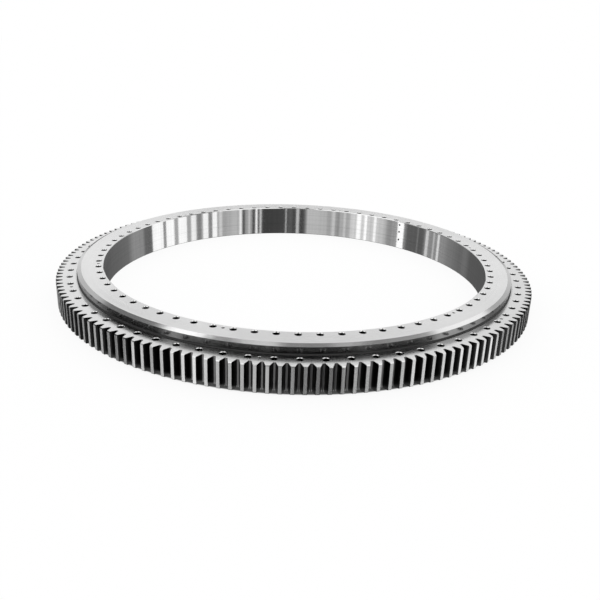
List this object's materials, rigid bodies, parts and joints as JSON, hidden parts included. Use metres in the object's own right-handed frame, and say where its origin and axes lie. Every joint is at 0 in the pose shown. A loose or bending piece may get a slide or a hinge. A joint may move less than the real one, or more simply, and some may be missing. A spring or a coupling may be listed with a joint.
{
  "type": "slewing ring bearing",
  "caption": "Large flat slewing bearing: geared outer ring turning round a split inner ring on hidden rows of rollers, with bolt circles in both rings.",
  "frame": {"origin": "centre of the inner ring's lower mounting face", "axes": "+Z along the bearing axis, from the inner ring's lower face towards its flange; +X lies on a pair of bolt holes"},
  "size_m": [2.5728, 2.5726, 0.182],
  "materials": {
    "ring_steel": "fine turned and ground bare steel",
    "gear_steel": "turned faces, hobbed and oiled teeth",
    "roller_steel": "ground and polished",
    "fastener_steel": "black oxide",
    "cage_brass": "machined",
    "seal_rubber": "smooth moulded nitrile"
  },
  "bodies": {
    "inner_ring": {"inner_ring_upper": "ring_steel", "inner_ring_lower": "ring_steel", "split_face_o_ring": "seal_rubber", "locating_dowels": "fastener_steel", "joining_screws": "fastener_steel", "port_plugs": "fastener_steel", "upper_seal": "seal_rubber"},
    "gear_ring_body": {"gear_ring": "gear_steel", "lower_seal": "seal_rubber"},
    "thrust_roller_row": {"upper_rollers": "roller_steel", "upper_cage_segment_01": "cage_brass", "upper_cage_segment_02": "cage_brass", "upper_cage_segment_03": "cage_brass", "upper_cage_segment_04": "cage_brass", "upper_cage_segment_05": "cage_brass", "upper_cage_segment_06": "cage_brass", "upper_cage_segment_07": "cage_brass", "upper_cage_segment_08": "cage_brass", "upper_cage_segment_09": "cage_brass", "upper_cage_segment_10": "cage_brass", "upper_cage_segment_11": "cage_brass", "upper_cage_segment_12": "cage_brass"},
    "radial_roller_row": {"radial_rollers": "roller_steel", "radial_cage_segment_01": "cage_brass", "radial_cage_segment_02": "cage_brass", "radial_cage_segment_03": "cage_brass", "radial_cage_segment_04": "cage_brass", "radial_cage_segment_05": "cage_brass", "radial_cage_segment_06": "cage_brass", "radial_cage_segment_07": "cage_brass", "radial_cage_segment_08": "cage_brass", "radial_cage_segment_09": "cage_brass", "radial_cage_segment_10": "cage_brass", "radial_cage_segment_11": "cage_brass", "radial_cage_segment_12": "cage_brass"},
    "uplift_roller_row": {"lower_rollers": "roller_steel", "lower_cage_segment_01": "cage_brass", "lower_cage_segment_02": "cage_brass", "lower_cage_segment_03": "cage_brass", "lower_cage_segment_04": "cage_brass", "lower_cage_segment_05": "cage_brass", "lower_cage_segment_06": "cage_brass", "lower_cage_segment_07": "cage_brass", "lower_cage_segment_08": "cage_brass", "lower_cage_segment_09": "cage_brass", "lower_cage_segment_10": "cage_brass", "lower_cage_segment_11": "cage_brass", "lower_cage_segment_12": "cage_brass"}
  },
  "joints": [
    {"name": "slewing", "type": "hinge", "parent": "inner_ring", "child": "gear_ring_body", "pos_m": [0, 0, 0.075], "axis": [0, 0, 1], "continuous": true},
    {"name": "thrust_row_turn", "type": "hinge", "parent": "inner_ring", "child": "thrust_roller_row", "pos_m": [0, 0, 0.1213], "axis": [0, 0, 1], "continuous": true},
    {"name": "radial_row_turn", "type": "hinge", "parent": "inner_ring", "child": "radial_roller_row", "pos_m": [0, 0, 0.085], "axis": [0, 0, 1], "continuous": true},
    {"name": "uplift_row_turn", "type": "hinge", "parent": "inner_ring", "child": "uplift_roller_row", "pos_m": [0, 0, 0.0522], "axis": [0, 0, 1], "continuous": true}
  ],
  "couplings": [
    {"joint": "thrust_row_turn", "follows": "slewing", "ratio": 0.5},
    {"joint": "radial_row_turn", "follows": "slewing", "ratio": 0.5038},
    {"joint": "uplift_row_turn", "follows": "slewing", "ratio": 0.5}
  ]
}
